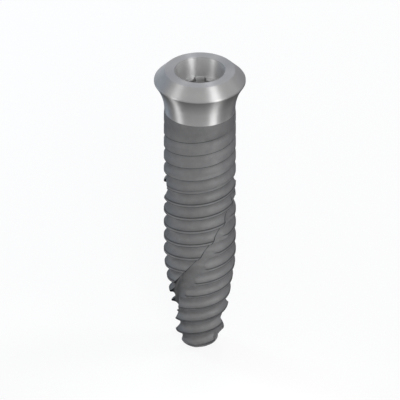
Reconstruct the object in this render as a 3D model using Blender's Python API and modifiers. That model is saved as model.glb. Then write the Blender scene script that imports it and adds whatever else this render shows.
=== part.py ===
# Dental implant turned and milled from one bar of titanium.
# A polished collar with a bevelled shoulder carries the inner cone, a six-lobed
# socket and the screw bore. Below it is a rough screw with two thread starts,
# a tapered end and two spiral cutting flutes.
# Lengths are in millimetres here and become metres when the mesh is made.
# Heights along the axis are counted down from the top ring of the collar.

import bpy
import bmesh
import math
from mathutils import Vector

MM = 0.001

# whole part
TOTAL_LENGTH = 16.2
SEGMENTS = 38

# collar
SHOULDER_DIAMETER = 4.8
BEVEL_WIDTH = 0.55
LAND_HEIGHT = 0.10
NECK_DIAMETER = 3.71
NECK_LEVEL = 2.32
ROUGH_LEVEL = 2.60

# inner connection
CONE_MOUTH_DIAMETER = 2.62
CONE_DEPTH = 1.06
CONE_HALF_ANGLE = 8.0
LOBE_COUNT = 6
LOBE_OUTER_RADIUS = 1.12
LOBE_INNER_RADIUS = 0.90
LOBE_TOOTH_HALF_ANGLE = 12.5
LOBE_FLANK_ANGLE = 5.0
LOBE_FLOOR = 2.20
LOBE_FLOOR_STEP = 0.14
SCREW_BORE_DIAMETER = 1.6
BORE_EDGE = 0.06
BORE_LEVEL = 5.6
DRILL_POINT_ANGLE = 118.0

# screw
BODY_DIAMETER = 3.755
THREAD_PITCH = 0.8
THREAD_STARTS = 2
THREAD_TOP_LEVEL = 2.95
FIRST_GROOVE_LEVEL = 3.90
FULL_GROOVE_LEVEL = 6.3
DEEPER_GROOVE_LEVEL = 12.1
DEEPEST_GROOVE_LEVEL = 14.2
GROOVE_START_DEPTH = 0.065
GROOVE_DEPTH = 0.20
APEX_GROOVE_DEPTH = 0.29
START_LAND_WIDTH = 0.43
LAND_WIDTH = 0.15
APEX_LAND_WIDTH = 0.065
TAPER_START_LEVEL = 10.70
TAPER_BEND_LENGTH = 1.0
TAPER_HALF_ANGLE = 8.3

# apex
APEX_RIM_RADIUS = 0.98
APEX_EDGE = 0.14

# cutting flutes
FLUTE_COUNT = 2
FLUTE_STATIONS = 36
FLUTE_START_LEVEL = 6.3
FLUTE_SHALLOW_DEPTH = GROOVE_DEPTH - 0.01
FLUTE_FULL_DEPTH = 0.42
FLUTE_WIDTH = 1.9

SHOULDER_RADIUS = SHOULDER_DIAMETER / 2
RING_RADIUS = SHOULDER_RADIUS - BEVEL_WIDTH
NECK_RADIUS = NECK_DIAMETER / 2
BODY_RADIUS = BODY_DIAMETER / 2
BORE_RADIUS = SCREW_BORE_DIAMETER / 2
THREAD_LEAD = THREAD_PITCH * THREAD_STARTS
SCREW_END_LEVEL = TOTAL_LENGTH - APEX_EDGE
CONE_FLOOR_RADIUS = CONE_MOUTH_DIAMETER / 2 - CONE_DEPTH * math.tan(math.radians(CONE_HALF_ANGLE))


def clear_scene():
    for old in list(bpy.data.objects):
        bpy.data.objects.remove(old, do_unlink=True)


def ramp(value, stations):
    # straight-line reading between (position, amount) stations
    if value <= stations[0][0]:
        return stations[0][1]
    for (a, low), (b, high) in zip(stations[:-1], stations[1:]):
        if value <= b:
            return low + (high - low) * (value - a) / (b - a)
    return stations[-1][1]


def point(radius, angle, level):
    x = radius * math.cos(angle)
    y = radius * math.sin(angle)
    return Vector((x * MM, y * MM, (TOTAL_LENGTH - level) * MM))


def crest_radius(level):
    # cylinder that bends into the tapered end
    slope = math.tan(math.radians(TAPER_HALF_ANGLE))
    past = level - TAPER_START_LEVEL
    if past <= 0:
        return BODY_RADIUS
    if past < TAPER_BEND_LENGTH:
        return BODY_RADIUS - slope * past * past / (2 * TAPER_BEND_LENGTH)
    return BODY_RADIUS - slope * (past - TAPER_BEND_LENGTH / 2)


def groove_depth(level):
    return ramp(level, [
        (THREAD_TOP_LEVEL, 0.0),
        (FIRST_GROOVE_LEVEL - THREAD_PITCH / 2, GROOVE_START_DEPTH),
        (FULL_GROOVE_LEVEL + THREAD_PITCH / 2, GROOVE_DEPTH),
        (DEEPER_GROOVE_LEVEL, GROOVE_DEPTH),
        (DEEPEST_GROOVE_LEVEL, APEX_GROOVE_DEPTH),
    ])


def groove_section():
    # place across the groove from its upper edge, as a share of the width, and
    # share of the depth there, for the shallow first turns and for the rest
    return [
        (0.00, 0.00, 0.00, 0.00),
        (0.04, 0.85, 0.05, 0.48),
        (0.26, 1.00, 0.23, 0.90),
        (0.54, 0.75, 0.52, 1.00),
        (0.76, 0.40, 0.76, 0.77),
        (0.92, 0.10, 0.92, 0.35),
        (1.00, 0.00, 1.00, 0.00),
    ]


def groove_points(centre):
    # level and depth of the points across the groove centred at this level
    shallow = ramp(centre, [(FIRST_GROOVE_LEVEL, 1.0), (FULL_GROOVE_LEVEL, 0.0)])
    width = THREAD_PITCH - ramp(centre, [
        (FIRST_GROOVE_LEVEL, START_LAND_WIDTH),
        (FULL_GROOVE_LEVEL, LAND_WIDTH),
        (DEEPER_GROOVE_LEVEL, LAND_WIDTH),
        (DEEPEST_GROOVE_LEVEL, APEX_LAND_WIDTH),
    ])
    points = []
    for early_place, early_share, place, share in groove_section():
        across = shallow * early_place + (1 - shallow) * place
        deep = shallow * early_share + (1 - shallow) * share
        level = centre + (across - 0.5) * width
        points.append((level, groove_depth(level) * deep))
    return points


def apex_limit(level):
    # the rim of the end face never stands outside this radius
    rise = SCREW_END_LEVEL - level
    return APEX_RIM_RADIUS + max(rise, 0.0) * 0.9


def groove_centre(groove, angle):
    # the thread climbs by one lead in a full turn
    drop = THREAD_LEAD * angle / (2 * math.pi)
    return FIRST_GROOVE_LEVEL + groove * THREAD_PITCH - drop


def screw_radius(level, angle):
    # the threaded surface read at one height
    drop = THREAD_LEAD * angle / (2 * math.pi)
    near = round((level + drop - FIRST_GROOVE_LEVEL) / THREAD_PITCH)
    stations = []
    for groove in (near - 1, near, near + 1):
        stations.extend(groove_points(groove_centre(groove, angle)))
    depth = ramp(level, stations)
    return min(crest_radius(level) - depth, apex_limit(level))


def screw_point(row, angle):
    groove, place = divmod(row, len(groove_section()))
    level, depth = groove_points(groove_centre(groove, angle))[place]
    if level <= THREAD_TOP_LEVEL:
        return BODY_RADIUS, THREAD_TOP_LEVEL
    if level >= SCREW_END_LEVEL:
        return screw_radius(SCREW_END_LEVEL, angle), SCREW_END_LEVEL
    return min(crest_radius(level) - depth, apex_limit(level)), level


def add_screw(mesh):
    # rows follow the grooves, and one turn joins a row to the one a lead away
    per_pitch = len(groove_section())
    above = math.ceil((FIRST_GROOVE_LEVEL - THREAD_TOP_LEVEL) / THREAD_PITCH)
    below = math.ceil((SCREW_END_LEVEL - FIRST_GROOVE_LEVEL) / THREAD_PITCH)
    first = -(above + 1) * per_pitch
    last = (below + THREAD_STARTS + 1) * per_pitch
    made = {}

    def vertex(row, column):
        if column == SEGMENTS:
            row = row - THREAD_STARTS * per_pitch
            column = 0
        angle = 2 * math.pi * column / SEGMENTS
        radius, level = screw_point(row, angle)
        clamped = level in (THREAD_TOP_LEVEL, SCREW_END_LEVEL)
        name = (level, column) if clamped else (row, column)
        if name not in made:
            made[name] = mesh.verts.new(point(radius, angle, level))
        return made[name]

    for row in range(first, last):
        for column in range(SEGMENTS):
            corners = [
                vertex(row, column),
                vertex(row + 1, column),
                vertex(row + 1, column + 1),
                vertex(row, column + 1),
            ]
            face = list(dict.fromkeys(corners))
            if len(face) > 2:
                mesh.faces.new(face)
    top = [made[(THREAD_TOP_LEVEL, column)] for column in range(SEGMENTS)]
    bottom = [made[(SCREW_END_LEVEL, column)] for column in range(SEGMENTS)]
    return top, bottom


def join_rings(mesh, upper, lower):
    for column in range(SEGMENTS):
        after = (column + 1) % SEGMENTS
        mesh.faces.new((upper[column], lower[column], lower[after], upper[after]))


def add_apex(mesh, rim):
    # rounded edge and flat end face
    ring = rim
    for inward, drop in ((0.03, 0.55), (0.13, 1.0)):
        level = SCREW_END_LEVEL + drop * APEX_EDGE
        lower = []
        for column, above in enumerate(rim):
            angle = 2 * math.pi * column / SEGMENTS
            radius = math.hypot(above.co.x, above.co.y) / MM - inward
            lower.append(mesh.verts.new(point(radius, angle, level)))
        join_rings(mesh, ring, lower)
        ring = lower
    centre = mesh.verts.new(point(0.0, 0.0, TOTAL_LENGTH))
    for column in range(SEGMENTS):
        mesh.faces.new((ring[column], centre, ring[(column + 1) % SEGMENTS]))


def flare_profile():
    # concave sweep from the shoulder edge to the neck
    start = (SHOULDER_RADIUS, BEVEL_WIDTH + LAND_HEIGHT)
    first = (SHOULDER_RADIUS - 0.06, start[1] + 0.11)
    second = (NECK_RADIUS, NECK_LEVEL - 0.92)
    end = (NECK_RADIUS, NECK_LEVEL)
    profile = []
    for step in range(1, 10):
        s = step / 9
        weights = ((1 - s) ** 3, 3 * s * (1 - s) ** 2, 3 * s * s * (1 - s), s ** 3)
        radius = sum(w * p[0] for w, p in zip(weights, (start, first, second, end)))
        level = sum(w * p[1] for w, p in zip(weights, (start, first, second, end)))
        profile.append((radius, level))
    return profile


def collar_profile():
    # from the rim shared with the screw, up the flare, over the shoulder and
    # down the inner cone to the drill point
    tip = BORE_LEVEL + BORE_RADIUS / math.tan(math.radians(DRILL_POINT_ANGLE / 2))
    mouth = CONE_MOUTH_DIAMETER / 2
    inside = [
        (0.0, tip),
        (BORE_RADIUS, BORE_LEVEL),
        (BORE_RADIUS, LOBE_FLOOR + LOBE_FLOOR_STEP + BORE_EDGE),
        (BORE_RADIUS + BORE_EDGE, LOBE_FLOOR + LOBE_FLOOR_STEP),
        (BORE_RADIUS + BORE_EDGE, CONE_DEPTH),
        (CONE_FLOOR_RADIUS, CONE_DEPTH),
        (mouth, 0.03),
        (mouth + 0.03, 0.0),
    ]
    outside = [
        (RING_RADIUS - 0.015, 0.0),
        (RING_RADIUS + 0.01, 0.01),
        (SHOULDER_RADIUS - 0.01, BEVEL_WIDTH - 0.01),
        (SHOULDER_RADIUS, BEVEL_WIDTH + 0.02),
        (SHOULDER_RADIUS, BEVEL_WIDTH + LAND_HEIGHT),
    ]
    below = [(BODY_RADIUS, ROUGH_LEVEL), (BODY_RADIUS, THREAD_TOP_LEVEL)]
    return inside + outside + flare_profile() + below


def turned_mesh(profile):
    # the profile stands at +X and is turned once round the axis
    mesh = bpy.data.meshes.new("collar_profile")
    points = [(r * MM, 0.0, (TOTAL_LENGTH - level) * MM) for r, level in profile]
    edges = [(i, i + 1) for i in range(len(points) - 1)]
    mesh.from_pydata(points, edges, [])
    turned = bpy.data.objects.new("collar_profile", mesh)
    bpy.context.scene.collection.objects.link(turned)
    screw = turned.modifiers.new("turn", "SCREW")
    screw.axis = "Z"
    screw.angle = 2 * math.pi
    screw.steps = SEGMENTS
    screw.render_steps = SEGMENTS
    screw.use_merge_vertices = True
    screw.merge_threshold = 0.0000005
    graph = bpy.context.evaluated_depsgraph_get()
    solid = bpy.data.meshes.new_from_object(turned.evaluated_get(graph))
    bpy.data.objects.remove(turned, do_unlink=True)
    return solid


def implant_mesh():
    # collar and screw meet on one rim, so they are one closed surface
    mesh = bmesh.new()
    mesh.from_mesh(turned_mesh(collar_profile()))
    top, bottom = add_screw(mesh)
    add_apex(mesh, bottom)
    bmesh.ops.remove_doubles(mesh, verts=mesh.verts, dist=0.0000005)
    bmesh.ops.dissolve_degenerate(mesh, edges=mesh.edges, dist=0.0000005)
    bmesh.ops.recalc_face_normals(mesh, faces=mesh.faces)
    bmesh.ops.triangulate(mesh, faces=[f for f in mesh.faces if len(f.verts) > 3])
    data = bpy.data.meshes.new("implant")
    mesh.to_mesh(data)
    mesh.free()
    return data


def prisms(name, shapes):
    # closed solids through rings of equal point count, given top to bottom
    mesh = bmesh.new()
    for rings in shapes:
        made = [[mesh.verts.new(p) for p in ring] for ring in rings]
        count = len(made[0])
        for upper, lower in zip(made[:-1], made[1:]):
            for i in range(count):
                j = (i + 1) % count
                mesh.faces.new((upper[i], lower[i], lower[j], upper[j]))
        mesh.faces.new(made[0])
        mesh.faces.new(list(reversed(made[-1])))
    bmesh.ops.triangulate(mesh, faces=mesh.faces)
    bmesh.ops.recalc_face_normals(mesh, faces=mesh.faces)
    data = bpy.data.meshes.new(name)
    mesh.to_mesh(data)
    mesh.free()
    return data


def lobe_cutter():
    # six teeth with a lobe between each two, below the cone
    pitch = 2 * math.pi / LOBE_COUNT
    tooth = math.radians(LOBE_TOOTH_HALF_ANGLE)
    lobe = tooth + math.radians(LOBE_FLANK_ANGLE)
    corners = [
        (-tooth, LOBE_INNER_RADIUS),
        (0.0, LOBE_INNER_RADIUS),
        (tooth, LOBE_INNER_RADIUS),
        (lobe, LOBE_OUTER_RADIUS),
        (pitch / 2, LOBE_OUTER_RADIUS),
        (pitch - lobe, LOBE_OUTER_RADIUS),
    ]
    rings = []
    for level in (CONE_DEPTH - 0.08, LOBE_FLOOR):
        ring = []
        for i in range(LOBE_COUNT):
            for angle, radius in corners:
                ring.append(point(radius, i * pitch + angle, level))
        rings.append(ring)
    return prisms("lobe_cutter", [rings])


def flute_depth(level):
    return ramp(level, [
        (FLUTE_START_LEVEL, 0.0),
        (FLUTE_START_LEVEL + 0.5, FLUTE_SHALLOW_DEPTH + 0.10),
        (FLUTE_START_LEVEL + 1.9, FLUTE_SHALLOW_DEPTH),
        (FLUTE_START_LEVEL + 3.2, FLUTE_SHALLOW_DEPTH),
        (DEEPER_GROOVE_LEVEL, FLUTE_FULL_DEPTH),
    ])


def flute_angle(level):
    # the steep wall turns steadily from the right over the front to the left
    degrees = ramp(level, [
        (FLUTE_START_LEVEL, -7.0),
        (10.3, 90.0),
        (12.2, 142.0),
        (17.0, 263.0),
    ])
    return -math.radians(degrees)


def flute_rings(turn):
    # steep wall on one side and a flat floor that runs out on the other
    rings = []
    end = TOTAL_LENGTH + 0.4
    for i in range(FLUTE_STATIONS + 1):
        level = FLUTE_START_LEVEL + (end - FLUTE_START_LEVEL) * i / FLUTE_STATIONS
        crest = crest_radius(level)
        floor = crest - flute_depth(level)
        angle = flute_angle(level) + turn
        along = Vector((math.cos(angle), math.sin(angle), 0.0))
        across = Vector((-math.sin(angle), math.cos(angle), 0.0))
        height = Vector((0.0, 0.0, TOTAL_LENGTH - level))
        ring = [
            floor * along + height,
            (crest + 0.5) * along + height,
            (crest + 0.5) * along + FLUTE_WIDTH * across + height,
            floor * along + FLUTE_WIDTH * across + height,
        ]
        rings.append([p * MM for p in ring])
    return rings


def flute_cutter():
    turns = [2 * math.pi * i / FLUTE_COUNT for i in range(FLUTE_COUNT)]
    return prisms("flute_cutter", [flute_rings(turn) for turn in turns])


def titanium():
    material = bpy.data.materials.new("titanium")
    material.use_nodes = True
    shader = material.node_tree.nodes["Principled BSDF"]
    shader.inputs["Base Color"].default_value = (0.42, 0.42, 0.43, 1.0)
    shader.inputs["Metallic"].default_value = 1.0
    shader.inputs["Roughness"].default_value = 0.45
    return material


def build():
    clear_scene()
    cutters = bpy.data.collections.new("cutters")
    bpy.context.scene.collection.children.link(cutters)
    implant = bpy.data.objects.new("implant", implant_mesh())
    implant.data.materials.append(titanium())
    bpy.context.scene.collection.objects.link(implant)
    for data in (lobe_cutter(), flute_cutter()):
        cutter = bpy.data.objects.new(data.name, data)
        cutter.hide_render = True
        cutter.display_type = "WIRE"
        cutters.objects.link(cutter)
        cut = implant.modifiers.new(data.name, "BOOLEAN")
        cut.operation = "DIFFERENCE"
        cut.solver = "EXACT"
        cut.object = cutter


build()
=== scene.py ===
import math
import bmesh
import bpy
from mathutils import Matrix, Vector


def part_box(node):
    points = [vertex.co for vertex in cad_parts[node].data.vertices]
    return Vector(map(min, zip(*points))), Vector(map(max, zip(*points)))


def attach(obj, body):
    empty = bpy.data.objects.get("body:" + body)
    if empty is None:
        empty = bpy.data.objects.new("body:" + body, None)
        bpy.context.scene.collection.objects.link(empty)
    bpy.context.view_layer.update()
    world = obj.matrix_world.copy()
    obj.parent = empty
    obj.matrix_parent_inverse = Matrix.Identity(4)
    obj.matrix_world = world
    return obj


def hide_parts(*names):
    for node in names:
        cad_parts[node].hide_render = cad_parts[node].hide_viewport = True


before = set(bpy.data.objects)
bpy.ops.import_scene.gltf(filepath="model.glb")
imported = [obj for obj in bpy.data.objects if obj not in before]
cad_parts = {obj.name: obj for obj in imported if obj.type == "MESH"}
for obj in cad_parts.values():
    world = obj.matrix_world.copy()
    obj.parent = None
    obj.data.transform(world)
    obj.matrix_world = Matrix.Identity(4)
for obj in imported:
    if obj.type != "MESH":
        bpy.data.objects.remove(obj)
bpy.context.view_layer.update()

# Implant body. One bar of titanium is turned, broached and threaded into collar, socket
# and screw, so it is one surface here, row by row from the drill point to the tip.
# Sizes are in millimetres, and levels are counted down from the platform ring.
MM = 0.001
lowest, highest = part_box("implant")
LENGTH = (highest[2] - lowest[2]) / MM
SHOULDER_RADIUS = min(highest[0], highest[1]) / MM
COLUMNS = 152

CONE_MOUTH_RADIUS = 1.31
CONE_MOUTH_CHAMFER = 0.03
CONE_DEPTH = 1.06
CONE_HALF_ANGLE = 8.0
LOBE_COUNT = 6
LOBE_OUTER_RADIUS = 1.12
LOBE_INNER_RADIUS = 0.90
LOBE_TOOTH_HALF_ANGLE = 8.0
LOBE_FLANK_ANGLE = 9.5
LOBE_FLOOR = 2.20
LOBE_ROWS = 6
LOBE_CHAMFER = 0.025
BORE_RADIUS = 0.80
BORE_MOUTH_RADIUS = BORE_RADIUS + 0.06
BORE_MOUTH_LEVEL = LOBE_FLOOR + 0.14
BORE_CHAMFER_END = LOBE_FLOOR + 0.20
BORE_LEVEL = 5.6
BORE_ROW_HEIGHT = 0.05
BORE_THREAD_TOP = LOBE_FLOOR + 0.30
BORE_THREAD_END = BORE_LEVEL - 0.2
BORE_THREAD_FADE_IN = 0.3
BORE_THREAD_FADE_OUT = 0.4
BORE_THREAD_PITCH = 0.4
BORE_THREAD_DEPTH = 0.05
DRILL_HALF_ANGLE = 59.0

BEVEL_WIDTH = 0.55
BEVEL_DROP = 0.55
LAND_HEIGHT = 0.10
LAND_END_LEVEL = BEVEL_DROP + LAND_HEIGHT
RING_RADIUS = SHOULDER_RADIUS - BEVEL_WIDTH
EDGE_ROUNDING = 0.03
NECK_RADIUS = 1.855
NECK_LEVEL = 2.32
FLARE_LEAD_IN = (0.06, 0.11)
FLARE_LEAD_OUT = 0.92
FLARE_ROWS = 32

BODY_RADIUS = 1.8775
BODY_LEVEL = 2.60
ROUGH_LEVEL = 2.34
THREAD_PITCH = 0.8
THREAD_LEAD = 1.6
THREAD_TOP_LEVEL = 2.95
EARLY_GROOVE_LEVEL = 3.5
FIRST_GROOVE_LEVEL = 3.90
FULL_GROOVE_LEVEL = 6.3
FULL_DEPTH_LEVEL = FULL_GROOVE_LEVEL + 0.4
DEEPER_GROOVE_LEVEL = 12.1
DEEPEST_GROOVE_LEVEL = 14.2
EARLY_GROOVE_DEPTH = 0.065
FULL_GROOVE_DEPTH = 0.20
DEEPEST_GROOVE_DEPTH = 0.29
EARLY_RIDGE_WIDTH = 0.43
FULL_RIDGE_WIDTH = 0.15
SHARP_RIDGE_WIDTH = 0.065
TAPER_START_LEVEL = 10.7
TAPER_BEND = 1.0
TAPER_SLOPE = math.tan(math.radians(8.3))
TIP_RIM_RADIUS = 0.98
TIP_RIM_SLOPE = 0.9
# the rounded edge of the tip: how far in and how far down each row lies
TIP_CURVE = [(0.012, 0.025), (0.035, 0.06), (0.07, 0.10), (0.10, 0.125), (0.135, 0.14)]
END_FACE_RINGS = (0.8, 0.5, 0.2)
SCREW_END_LEVEL = LENGTH - TIP_CURVE[-1][1]

# where the rows of a groove lie across its width, and how much of the full depth the
# first shallow grooves and the full grooves have there
PLACES = [
    0.0, 0.012, 0.025, 0.045, 0.07, 0.11, 0.17, 0.25, 0.34, 0.44,
    0.54, 0.64, 0.73, 0.81, 0.88, 0.935, 0.965, 0.985, 1.0,
]
EARLY_SECTION = [
    (0.0, 0.0), (0.015, 0.12), (0.045, 0.80), (0.12, 0.96), (0.26, 1.0),
    (0.54, 0.75), (0.76, 0.38), (0.92, 0.09), (1.0, 0.0),
]
FULL_SECTION = [
    (0.0, 0.0), (0.02, 0.10), (0.06, 0.50), (0.13, 0.76), (0.23, 0.91),
    (0.38, 0.99), (0.52, 1.0), (0.66, 0.92), (0.80, 0.69), (0.93, 0.31),
    (0.98, 0.07), (1.0, 0.0),
]


def ramp(value, stations):
    # reading along straight lines between the stations
    if value <= stations[0][0]:
        return stations[0][1]
    for (a, low), (b, high) in zip(stations[:-1], stations[1:]):
        if value <= b:
            return low + (high - low) * (value - a) / (b - a)
    return stations[-1][1]


def flow(value, stations):
    # reading along a smooth curve through the stations
    last = len(stations) - 1
    for i in range(last):
        (a, low), (b, high) = stations[i], stations[i + 1]
        if value <= b or i == last - 1:
            break
    span = b - a
    before = stations[max(i - 1, 0)]
    after = stations[min(i + 2, last)]
    rise_in = (high - before[1]) / (b - before[0]) * span
    rise_out = (after[1] - low) / (after[0] - a) * span
    t = min(max((value - a) / span, 0.0), 1.0)
    return (
        (2 * t ** 3 - 3 * t ** 2 + 1) * low
        + (t ** 3 - 2 * t ** 2 + t) * rise_in
        + (3 * t ** 2 - 2 * t ** 3) * high
        + (t ** 3 - t ** 2) * rise_out
    )


def spot(radius, angle, level):
    return Vector((radius * math.cos(angle), radius * math.sin(angle), LENGTH - level)) * MM


def turn_of(column):
    return 2 * math.pi * column / COLUMNS


def crest_radius(level):
    past = level - TAPER_START_LEVEL
    if past <= 0:
        return BODY_RADIUS
    if past < TAPER_BEND:
        return BODY_RADIUS - TAPER_SLOPE * past * past / (2 * TAPER_BEND)
    return BODY_RADIUS - TAPER_SLOPE * (past - TAPER_BEND / 2)


def tip_limit(level):
    return TIP_RIM_RADIUS + max(SCREW_END_LEVEL - level, 0.0) * TIP_RIM_SLOPE


def groove_depth(level):
    return ramp(level, [
        (THREAD_TOP_LEVEL, 0.0),
        (EARLY_GROOVE_LEVEL, EARLY_GROOVE_DEPTH),
        (FULL_DEPTH_LEVEL, FULL_GROOVE_DEPTH),
        (DEEPER_GROOVE_LEVEL, FULL_GROOVE_DEPTH),
        (DEEPEST_GROOVE_LEVEL, DEEPEST_GROOVE_DEPTH),
    ])


def groove_points(centre):
    # level and depth of each row across the groove that has its middle at this level
    shallow = ramp(centre, [(FIRST_GROOVE_LEVEL, 1.0), (FULL_GROOVE_LEVEL, 0.0)])
    width = THREAD_PITCH - ramp(centre, [
        (FIRST_GROOVE_LEVEL, EARLY_RIDGE_WIDTH),
        (FULL_GROOVE_LEVEL, FULL_RIDGE_WIDTH),
        (DEEPER_GROOVE_LEVEL, FULL_RIDGE_WIDTH),
        (DEEPEST_GROOVE_LEVEL, SHARP_RIDGE_WIDTH),
    ])
    points = []
    for place in PLACES:
        share = shallow * flow(place, EARLY_SECTION) + (1 - shallow) * flow(place, FULL_SECTION)
        level = centre + (place - 0.5) * width
        points.append((level, groove_depth(level) * share))
    return points


def groove_centre(groove, angle):
    return FIRST_GROOVE_LEVEL + groove * THREAD_PITCH - THREAD_LEAD * angle / (2 * math.pi)


def end_radius(angle):
    # radius of the screw where the rounded edge of the tip begins
    drop = THREAD_LEAD * angle / (2 * math.pi)
    near = round((SCREW_END_LEVEL + drop - FIRST_GROOVE_LEVEL) / THREAD_PITCH)
    stations = []
    for groove in (near - 1, near, near + 1):
        stations.extend(groove_points(groove_centre(groove, angle)))
    depth = ramp(SCREW_END_LEVEL, stations)
    return min(crest_radius(SCREW_END_LEVEL) - depth, tip_limit(SCREW_END_LEVEL))


def rounded(profile, radius, steps=3):
    # profile corners blended over a small radius, or over 45% of a side that is short
    result = [profile[0]]
    for before, corner, after in zip(profile[:-2], profile[1:-1], profile[2:]):
        b, c, a = Vector(before), Vector(corner), Vector(after)
        reach = min(radius, (b - c).length * 0.45, (a - c).length * 0.45)
        start = c + (b - c).normalized() * reach
        end = c + (a - c).normalized() * reach
        for i in range(steps + 1):
            t = i / steps
            result.append(tuple((1 - t) ** 2 * start + 2 * t * (1 - t) * c + t * t * end))
    result.append(profile[-1])
    return result


def flare_profile():
    # one concave curve from the land at the shoulder to the neck
    start = Vector((SHOULDER_RADIUS, LAND_END_LEVEL))
    first = Vector((SHOULDER_RADIUS - FLARE_LEAD_IN[0], start.y + FLARE_LEAD_IN[1]))
    second = Vector((NECK_RADIUS, NECK_LEVEL - FLARE_LEAD_OUT))
    end = Vector((NECK_RADIUS, NECK_LEVEL))
    profile = []
    for row in range(1, FLARE_ROWS + 1):
        s = row / FLARE_ROWS
        place = (
            (1 - s) ** 3 * start + 3 * s * (1 - s) ** 2 * first
            + 3 * s * s * (1 - s) * second + s ** 3 * end
        )
        profile.append((place.x, place.y))
    return profile


def lobe_radius(angle, share):
    # six teeth with a lobe between each two
    pitch = 360.0 / LOBE_COUNT
    from_tooth = abs((math.degrees(angle) + pitch / 2) % pitch - pitch / 2)
    lobed = ramp(from_tooth, [
        (LOBE_TOOTH_HALF_ANGLE, LOBE_INNER_RADIUS),
        (LOBE_TOOTH_HALF_ANGLE + LOBE_FLANK_ANGLE, LOBE_OUTER_RADIUS),
    ])
    return share * lobed + (1 - share) * BORE_MOUTH_RADIUS


def bore_thread(angle, level):
    turn = (level + BORE_THREAD_PITCH * angle / (2 * math.pi)) / BORE_THREAD_PITCH
    wave = abs((turn % 1.0) * 2 - 1)
    fade = ramp(level, [
        (BORE_THREAD_TOP, 0.0), (BORE_THREAD_TOP + BORE_THREAD_FADE_IN, 1.0),
        (BORE_THREAD_END - BORE_THREAD_FADE_OUT, 1.0), (BORE_THREAD_END, 0.0),
    ])
    return BORE_RADIUS + BORE_THREAD_DEPTH * fade * wave, level


def body_rows():
    # each row gives radius and level for an angle, from the drill point outwards
    rows = []

    def turned(radius, level):
        rows.append(lambda angle: (radius, level))

    drill_point = BORE_LEVEL + BORE_RADIUS / math.tan(math.radians(DRILL_HALF_ANGLE))
    turned(0.0, drill_point)
    turned(BORE_RADIUS * 0.5, (drill_point + BORE_LEVEL) / 2)
    turned(BORE_RADIUS, BORE_LEVEL)
    for i in range(round((BORE_THREAD_END - BORE_THREAD_TOP) / BORE_ROW_HEIGHT) + 1):
        level = BORE_THREAD_END - BORE_ROW_HEIGHT * i
        rows.append(lambda angle, level=level: bore_thread(angle, level))
    turned(BORE_RADIUS, BORE_CHAMFER_END)
    turned(BORE_MOUTH_RADIUS, BORE_MOUTH_LEVEL)
    turned(BORE_MOUTH_RADIUS, LOBE_FLOOR + 0.01)

    # the lobes, with narrow rows at both ends that keep the edges crisp
    lobe_height = LOBE_FLOOR - CONE_DEPTH - 0.04
    lobes = [(0.0, LOBE_FLOOR), (0.96, LOBE_FLOOR), (1.0, LOBE_FLOOR - 0.02)]
    for i in range(1, LOBE_ROWS + 1):
        lobes.append((1.0, LOBE_FLOOR - lobe_height * i / LOBE_ROWS))
    for share, level in lobes:
        rows.append(lambda angle, share=share, level=level: (lobe_radius(angle, share), level))
    rows.append(lambda angle: (lobe_radius(angle, 1.0) + LOBE_CHAMFER, CONE_DEPTH))

    shelf_radius = CONE_MOUTH_RADIUS - CONE_DEPTH * math.tan(math.radians(CONE_HALF_ANGLE))
    outside = [
        (shelf_radius - 0.005, CONE_DEPTH),
        (shelf_radius, CONE_DEPTH - 0.01),
        (CONE_MOUTH_RADIUS, CONE_MOUTH_CHAMFER),
        (CONE_MOUTH_RADIUS + CONE_MOUTH_CHAMFER, 0.0),
        (RING_RADIUS, 0.0),
        (SHOULDER_RADIUS, BEVEL_DROP),
        (SHOULDER_RADIUS, LAND_END_LEVEL),
    ]
    for radius, level in rounded(outside, EDGE_ROUNDING) + flare_profile():
        turned(radius, level)

    # the blasted band starts a hair wider than the neck and widens to the body
    turned(NECK_RADIUS + 0.002, ROUGH_LEVEL)
    turned(NECK_RADIUS + 0.012, ROUGH_LEVEL + 0.10)
    turned(BODY_RADIUS, BODY_LEVEL)
    turned(BODY_RADIUS, BODY_LEVEL + 0.15)
    return rows


def add_column_rows(mesh, rows):
    # rings of vertices, with one vertex where a ring has no radius
    rings = []
    for row in rows:
        ring = []
        for column in range(COLUMNS):
            radius, level = row(turn_of(column))
            if radius == 0.0 and ring:
                ring.append(ring[0])
            else:
                ring.append(mesh.verts.new(spot(radius, turn_of(column), level)))
        rings.append(ring)
    return rings


def add_face(mesh, corners):
    # corners that have run together make a triangle, or nothing
    corners = list(dict.fromkeys(corners))
    if len(corners) > 2:
        mesh.faces.new(corners)


def skin(mesh, rings):
    for upper, lower in zip(rings[:-1], rings[1:]):
        for column in range(COLUMNS):
            after = (column + 1) % COLUMNS
            add_face(mesh, (upper[column], lower[column], lower[after], upper[after]))


def screw_vertex(mesh, row, column, made):
    # rows past the top of the thread or past the tip run together there
    per_pitch = len(PLACES)
    if column == COLUMNS:
        row = row - 2 * per_pitch
        column = 0
    angle = turn_of(column)
    groove, place = divmod(row, per_pitch)
    centre = groove_centre(groove, angle)
    if centre not in made:
        made[centre] = groove_points(centre)
    level, depth = made[centre][place]
    if level <= THREAD_TOP_LEVEL:
        name, radius, level = ("top", column), BODY_RADIUS, THREAD_TOP_LEVEL
    elif level >= SCREW_END_LEVEL:
        name, radius, level = ("end", column), None, SCREW_END_LEVEL
    else:
        name, radius = (row, column), min(crest_radius(level) - depth, tip_limit(level))
    if name not in made:
        if radius is None:
            radius = end_radius(angle)
        made[name] = mesh.verts.new(spot(radius, angle, level))
    return made[name]


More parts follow.
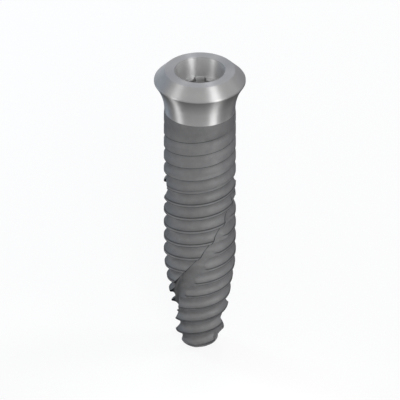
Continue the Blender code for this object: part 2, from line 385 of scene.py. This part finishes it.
def add_screw(mesh):
    # the rows follow the thread, so the grooves need no cutting
    made = {}
    per_pitch = len(PLACES)
    last = math.ceil((SCREW_END_LEVEL - FIRST_GROOVE_LEVEL) / THREAD_PITCH) + 3
    for row in range(-3 * per_pitch, last * per_pitch):
        for column in range(COLUMNS):
            add_face(mesh, (
                screw_vertex(mesh, row, column, made),
                screw_vertex(mesh, row + 1, column, made),
                screw_vertex(mesh, row + 1, column + 1, made),
                screw_vertex(mesh, row, column + 1, made),
            ))
    top = [made[("top", column)] for column in range(COLUMNS)]
    end = [made[("end", column)] for column in range(COLUMNS)]
    return top, end


solid = bmesh.new()
screw_top, screw_end = add_screw(solid)
skin(solid, add_column_rows(solid, body_rows()) + [screw_top])
tip_rings = [screw_end]
for inward, drop in TIP_CURVE:
    ring = []
    for column, above in enumerate(screw_end):
        radius = math.hypot(above.co.x, above.co.y) / MM - inward
        ring.append(solid.verts.new(spot(radius, turn_of(column), SCREW_END_LEVEL + drop)))
    tip_rings.append(ring)
flat_rim = tip_rings[-1]
for share in END_FACE_RINGS:
    tip_rings.append([
        solid.verts.new(Vector((v.co.x * share, v.co.y * share, v.co.z))) for v in flat_rim
    ])
tip_rings.append([solid.verts.new((0.0, 0.0, 0.0))] * COLUMNS)
skin(solid, tip_rings)
bmesh.ops.recalc_face_normals(solid, faces=solid.faces)
implant_mesh = bpy.data.meshes.new("implant_body")
solid.to_mesh(implant_mesh)
solid.free()
implant = bpy.data.objects.new("implant_body", implant_mesh)
bpy.context.scene.collection.objects.link(implant)

# Cutting flutes. Two spiral flutes are milled into the lower two thirds of the same
# bar, half a turn apart, each with one steep wall and a floor that runs out.
FLUTE_START_LEVEL = 6.3
FLUTE_SHALLOW_DEPTH = 0.19
FLUTE_FULL_DEPTH = 0.42
FLUTE_WIDTH = 1.9
FLUTE_ROWS = 150
CUTTER_HEADROOM = 0.5
CUTTER_RUN_OUT = 0.4
SHARP_EDGE_ANGLE = 34.0
# depth of the floor at each level
FLUTE_DEPTHS = [
    (FLUTE_START_LEVEL, 0.0),
    (FLUTE_START_LEVEL + 0.5, FLUTE_SHALLOW_DEPTH + 0.10),
    (FLUTE_START_LEVEL + 1.9, FLUTE_SHALLOW_DEPTH),
    (FLUTE_START_LEVEL + 3.2, FLUTE_SHALLOW_DEPTH),
    (DEEPER_GROOVE_LEVEL, FLUTE_FULL_DEPTH),
]
# degrees that the wall has turned round the axis at each level
FLUTE_TURNS = [(FLUTE_START_LEVEL, -7.0), (10.3, 90.0), (12.2, 142.0), (17.0, 263.0)]


def flute_ring(level, turn):
    angle = turn - math.radians(ramp(level, FLUTE_TURNS))
    along = Vector((math.cos(angle), math.sin(angle), 0.0))
    across = Vector((-along.y, along.x, 0.0))
    height = Vector((0.0, 0.0, LENGTH - level))
    floor = (crest_radius(level) - ramp(level, FLUTE_DEPTHS)) * along + height
    outside = (crest_radius(level) + CUTTER_HEADROOM) * along + height
    sideways = FLUTE_WIDTH * across
    return [point * MM for point in (floor, outside, outside + sideways, floor + sideways)]


flutes = bmesh.new()
flute_height = LENGTH + CUTTER_RUN_OUT - FLUTE_START_LEVEL
for turn in (0.0, math.pi):
    rings = []
    for i in range(FLUTE_ROWS + 1):
        level = FLUTE_START_LEVEL + flute_height * i / FLUTE_ROWS
        rings.append([flutes.verts.new(point) for point in flute_ring(level, turn)])
    for upper, lower in zip(rings[:-1], rings[1:]):
        for i in range(4):
            j = (i + 1) % 4
            flutes.faces.new((upper[i], lower[i], lower[j], upper[j]))
    flutes.faces.new(rings[0])
    flutes.faces.new(list(reversed(rings[-1])))
bmesh.ops.triangulate(flutes, faces=flutes.faces)
bmesh.ops.recalc_face_normals(flutes, faces=flutes.faces)
flute_mesh = bpy.data.meshes.new("flute_cut")
flutes.to_mesh(flute_mesh)
flutes.free()
flute_cut = bpy.data.objects.new("flute_cut", flute_mesh)
bpy.context.scene.collection.objects.link(flute_cut)
milling = implant.modifiers.new("flutes", "BOOLEAN")
milling.operation = "DIFFERENCE"
milling.solver = "MANIFOLD"
milling.object = flute_cut
graph = bpy.context.evaluated_depsgraph_get()
milled = bpy.data.meshes.new_from_object(implant.evaluated_get(graph))
implant.modifiers.clear()
implant.data = milled
bpy.data.objects.remove(flute_cut, do_unlink=True)
milled.polygons.foreach_set("use_smooth", [True] * len(milled.polygons))
milled.set_sharp_from_angle(angle=math.radians(SHARP_EDGE_ANGLE))

# Finish of the screw. The screw is blasted with coarse grit and etched in acid, which
# leaves a matt grey skin full of tiny pits. Along the edges of the thread and the top of
# the flutes' walls run thin, nearly black lines of painted shade.
SKIN_TONES = ((0.166, 0.166, 0.168), (0.194, 0.194, 0.195))
SKIN_ROUGHNESS = (0.50, 0.64)
PAINTED_EDGE_SHADE = (0.030, 0.031, 0.034)
BLACK = (0.0, 0.0, 0.0)
PAINTED_BAND_SHADE = 0.12
PAINTED_BAND_SHADE_END = THREAD_TOP_LEVEL + 0.65
CLOUDS_PER_METRE = 2200.0
PITS_PER_METRE = 26000.0
PIT_DEPTH = 0.012 * MM
# a line of painted shade is full up to the first distance from the edge and gone at the
# second, and it is gone at the first height from the crest and full at the second
THREAD_LINE = (0.006, 0.040)
THREAD_LINE_REACH = (-0.27, -0.20)
FLUTE_LINE = (0.010, 0.036)
FLUTE_LINE_REACH = (-0.26, -0.16)
blasted = bpy.data.materials.new("blasted_etched_titanium")
blasted.use_nodes = True
nodes = blasted.node_tree.nodes
links = blasted.node_tree.links
shader = nodes["Principled BSDF"]
shader.inputs["Metallic"].default_value = 0.5
shader.inputs["Specular IOR Level"].default_value = 0.1
shader.inputs["Specular Tint"].default_value = (0.25, 0.26, 0.30, 1.0)
place = nodes.new("ShaderNodeTexCoord")


def grain(scale, detail, roughness=0.6):
    noise = nodes.new("ShaderNodeTexNoise")
    noise.inputs["Scale"].default_value = scale
    noise.inputs["Detail"].default_value = detail
    noise.inputs["Roughness"].default_value = roughness
    links.new(place.outputs["Object"], noise.inputs["Vector"])
    return noise


def spread(source, low, high, start=0.3, end=0.7):
    # low where the source is at start, high where it is at end
    ranged = nodes.new("ShaderNodeMapRange")
    ranged.inputs["From Min"].default_value = start
    ranged.inputs["From Max"].default_value = end
    ranged.inputs["To Min"].default_value = low
    ranged.inputs["To Max"].default_value = high
    links.new(source, ranged.inputs["Value"])
    return ranged.outputs["Result"]


def mixed(share, first, second):
    # two colours, or the outputs that carry them, mixed over the surface
    tone = nodes.new("ShaderNodeMix")
    tone.data_type = "RGBA"
    links.new(share, tone.inputs["Factor"])
    for socket, colour in ((tone.inputs["A"], first), (tone.inputs["B"], second)):
        if isinstance(colour, tuple):
            socket.default_value = (*colour, 1.0)
        else:
            links.new(colour, socket)
    return tone.outputs["Result"]


def dents(source, depth, strength):
    bump = nodes.new("ShaderNodeBump")
    bump.inputs["Distance"].default_value = depth
    bump.inputs["Strength"].default_value = strength
    links.new(source, bump.inputs["Height"])
    return bump.outputs["Normal"]


def reckon(operation, first, second=0.0, third=0.0):
    # a sum, done point by point
    step = nodes.new("ShaderNodeMath")
    step.operation = operation
    for socket, value in zip(step.inputs, (first, second, third)):
        if isinstance(value, float):
            socket.default_value = value
        else:
            links.new(value, socket)
    return step.outputs["Value"]


def ramp_by_level(stations):
    # what ramp() reads at the level of each point
    total = stations[0][1]
    for (above, before), (below, after) in zip(stations[:-1], stations[1:]):
        total = reckon("ADD", spread(level, 0.0, after - before, above, below), total)
    return total


# where a point lies on the screw, in millimetres
spots = nodes.new("ShaderNodeSeparateXYZ")
links.new(place.outputs["Object"], spots.inputs["Vector"])
x, y, z = (spots.outputs[axis] for axis in "XYZ")
level = reckon("MULTIPLY_ADD", z, -1.0 / MM, LENGTH)
turn = reckon("ARCTAN2", y, x)
out_squared = reckon("MULTIPLY_ADD", x, x, reckon("MULTIPLY", y, y))
radius = reckon("DIVIDE", reckon("SQRT", out_squared), MM)
past = reckon("MAXIMUM", reckon("SUBTRACT", level, TAPER_START_LEVEL + TAPER_BEND / 2), 0.0)
crest = reckon("MULTIPLY_ADD", past, -TAPER_SLOPE, BODY_RADIUS)
above_crest = reckon("SUBTRACT", radius, crest)
wall_turn = reckon("RADIANS", ramp_by_level(FLUTE_TURNS))
from_wall = reckon("WRAP", reckon("ADD", turn, wall_turn), math.pi / 2, -math.pi / 2)


def flute_floor():
    # 1 on the floor of the flutes, 0 elsewhere
    height = reckon("MULTIPLY", radius, reckon("COSINE", from_wall))
    above_floor = reckon("ADD", reckon("SUBTRACT", height, crest), ramp_by_level(FLUTE_DEPTHS))
    on_floor = spread(reckon("ABSOLUTE", above_floor), 1.0, 0.0, 0.02, 0.05)
    return reckon("MULTIPLY", on_floor, spread(from_wall, 0.0, 1.0, 0.0, 0.02))


def thread_edge_painted_shade():
    # 1 along both edges of the ridge of the thread, where the painted shade lines go, 0 elsewhere
    past_first = reckon("DIVIDE", reckon("SUBTRACT", level, FIRST_GROOVE_LEVEL), THREAD_PITCH)
    part_turn = reckon("DIVIDE", turn, 2 * math.pi)
    grooves = reckon("MULTIPLY_ADD", part_turn, THREAD_LEAD / THREAD_PITCH, past_first)
    side = reckon("WRAP", grooves, 0.5, -0.5)
    from_ridge = reckon("MULTIPLY_ADD", reckon("ABSOLUTE", side), -THREAD_PITCH, THREAD_PITCH / 2)

    # half the width of the ridge, at the level of the edge and not of the groove's middle
    first_edge_level = FIRST_GROOVE_LEVEL - 0.19
    full_edge_level = FULL_GROOVE_LEVEL - (THREAD_PITCH - FULL_RIDGE_WIDTH) / 2
    early = spread(
        level, EARLY_RIDGE_WIDTH / 2, FULL_RIDGE_WIDTH / 2, first_edge_level, full_edge_level)
    sharper = spread(
        level, 0.0, (FULL_RIDGE_WIDTH - SHARP_RIDGE_WIDTH) / 2,
        DEEPER_GROOVE_LEVEL, DEEPEST_GROOVE_LEVEL)
    off_edge = reckon("SUBTRACT", from_ridge, reckon("SUBTRACT", early, sharper))
    line = spread(reckon("ABSOLUTE", off_edge), 1.0, 0.0, *THREAD_LINE)

    # the early grooves run out downwards and have a line on their upper edge alone
    lower_edge = reckon("GREATER_THAN", side, 0.0)
    early_fade = spread(level, 1.0, 0.0, FULL_GROOVE_LEVEL - 0.6, FULL_DEPTH_LEVEL)
    hidden = reckon("MULTIPLY", lower_edge, early_fade)
    line = reckon("MULTIPLY", line, reckon("SUBTRACT", 1.0, hidden))

    # the lines stop above the bottom of the grooves, at the top of the thread and on the
    # flute's floor, where the line of the lower edge alone goes on a little way
    near_crest = spread(above_crest, 0.0, 1.0, *THREAD_LINE_REACH)
    below_top = spread(level, 0.0, 1.0, THREAD_TOP_LEVEL + 0.1, THREAD_TOP_LEVEL + 0.3)
    line = reckon("MULTIPLY", reckon("MULTIPLY", line, near_crest), below_top)
    upper_edge = reckon("SUBTRACT", 1.0, lower_edge)
    off_rim = reckon("MAXIMUM", upper_edge, spread(above_crest, 1.0, 0.0, -0.14, -0.08))
    cut_away = reckon("MULTIPLY", flute_floor(), off_rim)
    line = reckon("MULTIPLY", line, reckon("SUBTRACT", 1.0, cut_away))
    strength = spread(level, 1.0, 0.75, FIRST_GROOVE_LEVEL + 0.4, FIRST_GROOVE_LEVEL + 1.6)
    return reckon("MULTIPLY", line, strength)


def flute_wall_painted_shade():
    # 1 along the top of the steep wall of each flute, where the painted shade line goes, 0
    # elsewhere
    line = spread(reckon("ABSOLUTE", from_wall), 1.0, 0.0, *FLUTE_LINE)
    near_crest = spread(above_crest, 0.0, 1.0, *FLUTE_LINE_REACH)
    below_start = spread(level, 0.0, 1.0, FLUTE_START_LEVEL, FLUTE_START_LEVEL + 0.3)
    return reckon("MULTIPLY", reckon("MULTIPLY", line, near_crest), below_start)


clouds = grain(CLOUDS_PER_METRE, 3.0)
pits = grain(PITS_PER_METRE, 4.0, 0.7)
skin_tone = mixed(spread(clouds.outputs["Fac"], 0.0, 1.0), *SKIN_TONES)
# painted shade: the plain band above the thread is drawn towards black, fading out below
band = spread(level, PAINTED_BAND_SHADE, 0.0, THREAD_TOP_LEVEL, PAINTED_BAND_SHADE_END)
# painted shade: nearly black lines along the thread's edges and the top of the flutes' walls
edges = reckon("MAXIMUM", thread_edge_painted_shade(), flute_wall_painted_shade())
links.new(mixed(edges, mixed(band, skin_tone, BLACK), PAINTED_EDGE_SHADE), shader.inputs["Base Color"])
links.new(spread(pits.outputs["Fac"], *SKIN_ROUGHNESS), shader.inputs["Roughness"])
links.new(dents(pits.outputs["Fac"], PIT_DEPTH, 0.6), shader.inputs["Normal"])

# Finish of the collar. The turned titanium keeps the bright surface of the lathe tool,
# with fine rings round the axis and a faint haze. Close under the shoulder its colour is
# darkened with painted shade.
TURNED_TONES = ((0.372, 0.370, 0.370), (0.397, 0.395, 0.393))
TURNED_ROUGHNESS = (0.41, 0.47)
UNDER_SHOULDER_PAINTED_SHADE = 0.42
UNDER_SHOULDER_END = 1.65
RINGS_PER_METRE = 30000.0
HAZE_SPOTS_PER_METRE = 1500.0
MARK_DEPTH = 0.002 * MM
machined = bpy.data.materials.new("machined_titanium")
machined.use_nodes = True
nodes = machined.node_tree.nodes
links = machined.node_tree.links
shader = nodes["Principled BSDF"]
shader.inputs["Metallic"].default_value = 1.0
shader.inputs["Anisotropic"].default_value = 0.95
shader.inputs["Anisotropic Rotation"].default_value = 0.25
place = nodes.new("ShaderNodeTexCoord")
spots = nodes.new("ShaderNodeSeparateXYZ")
links.new(place.outputs["Object"], spots.inputs["Vector"])
flat = nodes.new("ShaderNodeCombineXYZ")
links.new(spots.outputs["X"], flat.inputs["X"])
links.new(spots.outputs["Y"], flat.inputs["Y"])
out = nodes.new("ShaderNodeVectorMath")
out.operation = "LENGTH"
links.new(flat.outputs["Vector"], out.inputs[0])
turning = nodes.new("ShaderNodeCombineXYZ")
links.new(out.outputs["Value"], turning.inputs["X"])
links.new(spots.outputs["Z"], turning.inputs["Z"])
feed = nodes.new("ShaderNodeTexNoise")
feed.inputs["Scale"].default_value = RINGS_PER_METRE
feed.inputs["Detail"].default_value = 3.0
links.new(turning.outputs["Vector"], feed.inputs["Vector"])
haze = grain(HAZE_SPOTS_PER_METRE, 4.0)
turned_tone = mixed(spread(haze.outputs["Fac"], 0.0, 1.0), *TURNED_TONES)
turned_tone.node.name = "turned_tone"
level = reckon("MULTIPLY_ADD", spots.outputs["Z"], -1.0 / MM, LENGTH)
below_land = spread(level, 0.0, 1.0, LAND_END_LEVEL - 0.02, LAND_END_LEVEL)
# painted shade: the colour is drawn towards black just under the shoulder, fading down the flare
painted_shade_under_shoulder = reckon(
    "MULTIPLY",
    spread(level, UNDER_SHOULDER_PAINTED_SHADE, 0.0, LAND_END_LEVEL, UNDER_SHOULDER_END), below_land)
# the inside of the socket is left as it is, so the shade starts well past the cone's mouth
outside = reckon("GREATER_THAN", out.outputs["Value"], CONE_MOUTH_RADIUS * 1.2 * MM)
shoulder_painted_shade = mixed(reckon("MULTIPLY", painted_shade_under_shoulder, outside), turned_tone, BLACK)
links.new(shoulder_painted_shade, shader.inputs["Base Color"])
links.new(spread(feed.outputs["Fac"], *TURNED_ROUGHNESS), shader.inputs["Roughness"])
links.new(dents(feed.outputs["Fac"], MARK_DEPTH, 0.25), shader.inputs["Normal"])
lay = nodes.new("ShaderNodeTangent")
lay.direction_type = "RADIAL"
lay.axis = "Z"
links.new(lay.outputs["Tangent"], shader.inputs["Tangent"])

# Finish of the cone and the platform ring. Both are turned like the collar. The cone is
# ground finer, as the seat for the crown, and the ring is given a tone a little brighter
# and cooler than the bevel.
CONE_TONES = ((0.56, 0.56, 0.56), (0.59, 0.59, 0.59))
RING_TONES = ((0.382, 0.388, 0.403), (0.406, 0.412, 0.427))


def turned_copy(name, tones):
    finish = machined.copy()
    finish.name = name
    tone = finish.node_tree.nodes["turned_tone"]
    tone.inputs["A"].default_value = (*tones[0], 1.0)
    tone.inputs["B"].default_value = (*tones[1], 1.0)
    return finish


ground = turned_copy("ground_titanium", CONE_TONES)
faced = turned_copy("faced_titanium", RING_TONES)

# Finish of the socket. The lobes are broached, which leaves fine upright marks on the
# faces of the teeth and on the shelf above them.
BROACHED_TONES = ((0.60, 0.60, 0.60), (0.66, 0.66, 0.66))
BROACHED_ROUGHNESS = (0.28, 0.38)
MARKS_PER_METRE = 24000.0
UPRIGHT_SCALE = 0.08
broached = bpy.data.materials.new("broached_titanium")
broached.use_nodes = True
nodes = broached.node_tree.nodes
links = broached.node_tree.links
shader = nodes["Principled BSDF"]
shader.inputs["Metallic"].default_value = 1.0
place = nodes.new("ShaderNodeTexCoord")
upright = nodes.new("ShaderNodeMapping")
upright.inputs["Scale"].default_value = (1.0, 1.0, UPRIGHT_SCALE)
links.new(place.outputs["Object"], upright.inputs["Vector"])
marks = grain(MARKS_PER_METRE, 3.0)
links.new(upright.outputs["Vector"], marks.inputs["Vector"])
links.new(
    mixed(spread(marks.outputs["Fac"], 0.0, 1.0), *BROACHED_TONES), shader.inputs["Base Color"])
links.new(spread(marks.outputs["Fac"], *BROACHED_ROUGHNESS), shader.inputs["Roughness"])
links.new(dents(marks.outputs["Fac"], MARK_DEPTH, 0.3), shader.inputs["Normal"])

FINISHES = (blasted, machined, ground, broached, faced)
implant.data.materials.clear()
for finish in FINISHES:
    implant.data.materials.append(finish)
for face in milled.polygons:
    radius = math.hypot(face.center.x, face.center.y) / MM
    level = LENGTH - face.center.z / MM
    in_mouth = radius < CONE_MOUTH_RADIUS
    in_bore = radius < LOBE_OUTER_RADIUS and level < BORE_LEVEL + BORE_RADIUS
    on_shelf = abs(level - CONE_DEPTH) < 0.015
    on_tooth = CONE_DEPTH < level < LOBE_FLOOR + 0.25 and radius < LOBE_INNER_RADIUS + 0.01
    finish = machined if in_bore or level < ROUGH_LEVEL else blasted
    if in_mouth and level < LOBE_FLOOR:
        finish = ground
    if in_mouth and (on_shelf or on_tooth):
        finish = broached
    if level < 0.01 and CONE_MOUTH_RADIUS < radius < RING_RADIUS:
        finish = faced
    face.material_index = FINISHES.index(finish)
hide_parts("implant")
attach(implant, "root")

# Floor. A plain pale sheet of paper, a hair below the tip so that the two don't meet.
# It shows white to the eye and to the metal, and keeps a faint shadow.
FLOOR_REACH = 0.4
FLOOR_GAP = 0.02 * MM
FLOOR_TONE = (0.95, 0.95, 0.95, 1.0)
WHITE = (1.0, 1.0, 1.0, 1.0)
WHITE_SHARE = 0.86
floor_mesh = bpy.data.meshes.new("floor")
floor_mesh.from_pydata(
    [
        (-FLOOR_REACH, -FLOOR_REACH, 0.0), (FLOOR_REACH, -FLOOR_REACH, 0.0),
        (FLOOR_REACH, FLOOR_REACH, 0.0), (-FLOOR_REACH, FLOOR_REACH, 0.0),
    ],
    [], [(0, 1, 2, 3)],
)
floor = bpy.data.objects.new("floor", floor_mesh)
floor.location.z = -FLOOR_GAP
bpy.context.scene.collection.objects.link(floor)
paper = bpy.data.materials.new("pale_floor")
paper.use_nodes = True
nodes = paper.node_tree.nodes
links = paper.node_tree.links
shader = nodes["Principled BSDF"]
shader.inputs["Base Color"].default_value = FLOOR_TONE
shader.inputs["Roughness"].default_value = 0.9
white = nodes.new("ShaderNodeEmission")
white.inputs["Color"].default_value = WHITE
white.inputs["Strength"].default_value = 1.0


def seen_or_mirrored():
    # 1 for what the camera sees and for what metal and glass show
    path = nodes.new("ShaderNodeLightPath")
    mirrored = reckon(
        "MAXIMUM", path.outputs["Is Glossy Ray"], path.outputs["Is Transmission Ray"])
    return reckon("MAXIMUM", path.outputs["Is Camera Ray"], mirrored)


lift = nodes.new("ShaderNodeMixShader")
links.new(reckon("MULTIPLY", seen_or_mirrored(), WHITE_SHARE), lift.inputs["Fac"])
links.new(shader.outputs["BSDF"], lift.inputs[1])
links.new(white.outputs["Emission"], lift.inputs[2])
links.new(lift.outputs["Shader"], nodes["Material Output"].inputs["Surface"])
floor_mesh.materials.append(paper)

# Room. White to the eye and to the metal, and a softer level of the same white on matt
# surfaces.
ROOM_LEVEL = 0.26
world = bpy.data.worlds.new("room")
bpy.context.scene.world = world
world.use_nodes = True
nodes = world.node_tree.nodes
links = world.node_tree.links
room = nodes["Background"]
room.inputs["Color"].default_value = WHITE
room.inputs["Strength"].default_value = ROOM_LEVEL
bright = nodes.new("ShaderNodeBackground")
bright.inputs["Color"].default_value = WHITE
bright.inputs["Strength"].default_value = 1.0
chosen = nodes.new("ShaderNodeMixShader")
links.new(seen_or_mirrored(), chosen.inputs["Fac"])
links.new(room.outputs["Background"], chosen.inputs[1])
links.new(bright.outputs["Background"], chosen.inputs[2])
links.new(chosen.outputs["Shader"], nodes["World Output"].inputs["Surface"])

# Lamps. Three tall narrow strips draw the bright lines on the turned metal, and five
# soft lamps light the matt screw. Azimuths are counted from the front, to the right;
# distances and sizes are in metres.
MIDDLE = LENGTH / 2 * MM


def panel_lamp(name, azimuth, distance, width, height, radiance,
               elevation=0.0, centre=MIDDLE, colour=(1.0, 1.0, 1.0)):
    # the lamp faces the axis of the implant
    lamp = bpy.data.lights.new(name, "AREA")
    lamp.shape = "RECTANGLE"
    lamp.size = width
    lamp.size_y = height
    lamp.color = colour
    lamp.energy = radiance * width * height * math.pi
    holder = bpy.data.objects.new(name, lamp)
    turn = math.radians(azimuth)
    rise = math.radians(elevation)
    reach = distance * math.cos(rise)
    holder.location = (
        reach * math.sin(turn), -reach * math.cos(turn), centre + distance * math.sin(rise))
    holder.rotation_euler = (math.radians(90) - rise, 0.0, turn)
    holder.visible_camera = False
    bpy.context.scene.collection.objects.link(holder)
    return holder


strips = [
    panel_lamp("right_strip", 41.0, distance=0.022, width=0.0080, height=0.060,
               radiance=2.8, centre=0.0305),
    panel_lamp("left_high_strip", -66.0, distance=0.022, width=0.0074, height=0.030,
               radiance=0.9, centre=0.0452),
    panel_lamp("left_low_strip", -62.0, distance=0.022, width=0.0074, height=0.0295,
               radiance=1.55, centre=0.0152),
]
for strip in strips:
    strip.visible_diffuse = False

soft_lamps = [
    panel_lamp("key_light", 7.0, distance=0.15, width=0.05, height=0.05,
               radiance=8.8, elevation=34.0),
    panel_lamp("low_front_light", 8.0, distance=0.010, width=0.012, height=0.005,
               radiance=2.5, centre=0.0030),
    panel_lamp("left_rim_light", -132.0, distance=0.10, width=0.03, height=0.06,
               radiance=8.5, elevation=20.0, colour=(0.66, 0.83, 1.0)),
    panel_lamp("right_rim_light", 100.0, distance=0.10, width=0.03, height=0.06,
               radiance=6.5, elevation=20.0, colour=(0.93, 0.92, 1.0)),
    panel_lamp("back_light", 178.0, distance=0.15, width=0.05, height=0.05,
               radiance=8.0, elevation=30.0),
]
for lamp in soft_lamps:
    lamp.visible_glossy = False

# Cards. Sheets that glow at set levels, grey and white like card, stand and lie round
# the implant, as in a studio, and give the metal something to mirror. They show in the
# metal alone.


def metal_card(name, corners, level, colour=(1.0, 1.0, 1.0)):
    sheet = bpy.data.meshes.new(name)
    sheet.from_pydata(corners, [], [(0, 1, 2, 3)])
    tinted = bpy.data.materials.new(name)
    tinted.use_nodes = True
    nodes = tinted.node_tree.nodes
    glow = nodes.new("ShaderNodeEmission")
    glow.inputs["Color"].default_value = (*colour, 1.0)
    glow.inputs["Strength"].default_value = level
    output = nodes["Material Output"]
    tinted.node_tree.links.new(glow.outputs["Emission"], output.inputs["Surface"])
    sheet.materials.append(tinted)
    holder = bpy.data.objects.new(name, sheet)
    holder.visible_camera = False
    holder.visible_diffuse = False
    holder.visible_shadow = False
    bpy.context.scene.collection.objects.link(holder)


def standing_card(name, azimuth, distance, width, height, bottom, level, colour=(1.0, 1.0, 1.0)):
    turn = math.radians(azimuth)
    foot = Vector((distance * math.sin(turn), -distance * math.cos(turn), bottom))
    half = Vector((math.cos(turn), math.sin(turn), 0.0)) * width / 2
    up = Vector((0.0, 0.0, height))
    corners = [foot - half, foot + half, foot + half + up, foot - half + up]
    metal_card(name, corners, level, colour)


def lying_card(name, corners, above_floor, level):
    metal_card(name, [(x * MM, y * MM, above_floor * MM) for x, y in corners], level)


standing_card("right_glow_card", 43.0, distance=0.0226, width=0.019, height=0.060,
              bottom=0.0006, level=1.3)
standing_card("right_back_card", 152.0, distance=0.030, width=0.060, height=0.024,
              bottom=0.0006, level=0.50, colour=(0.87, 0.86, 0.98))
standing_card("left_back_card", -132.0, distance=0.030, width=0.040, height=0.020,
              bottom=0.0006, level=1.5, colour=(0.72, 0.80, 0.91))
standing_card("left_high_card", -125.0, distance=0.030, width=0.040, height=0.020,
              bottom=0.0208, level=0.60, colour=(0.74, 0.82, 0.95))
# painted shade: the dark sheet lying just above the floor under the implant gives the metal shade
# to mirror there
lying_card("foot_shade_card", [(-35.0, -10.0), (35.0, -10.0), (35.0, 35.0), (-35.0, 35.0)],
           above_floor=0.3, level=0.06)
standing_card("back_card", 180.0, distance=0.014, width=0.034, height=0.012,
              bottom=0.0006, level=0.05)
# two bright patches on the dark card underfoot carry the bright lines up the flare
lying_card("left_foot_patch", [(-11.9, -4.1), (-6.6, 3.9), (-9.7, 5.9), (-15.0, -2.1)],
           above_floor=0.5, level=3.9)
lying_card("right_foot_patch", [(10.6, -6.8), (6.4, 2.0), (4.0, 0.8), (8.2, -8.0)],
           above_floor=0.5, level=1.0)

# Camera. It looks down at thirty degrees without perspective, at the scale of the photo,
# and aims a little above the middle of the implant.
PIXELS_PER_MM = 19.2
PHOTO_SIDE = 400
ELEVATION = 30.0
CAMERA_DISTANCE = 0.12
AIM = Vector((0.0000078, 0.0, 0.008377))
camera_data = bpy.data.cameras.new("camera")
camera_data.type = "ORTHO"
camera_data.ortho_scale = PHOTO_SIDE / PIXELS_PER_MM * MM
camera_data.clip_start = 0.001
camera_data.clip_end = 2.0
camera = bpy.data.objects.new("camera", camera_data)
rise = math.radians(ELEVATION)
camera.location = AIM + CAMERA_DISTANCE * Vector((0.0, -math.cos(rise), math.sin(rise)))
camera.rotation_euler = (math.radians(90.0 - ELEVATION), 0.0, 0.0)
bpy.context.scene.collection.objects.link(camera)
bpy.context.scene.camera = camera
bpy.context.scene.view_settings.view_transform = "Standard"
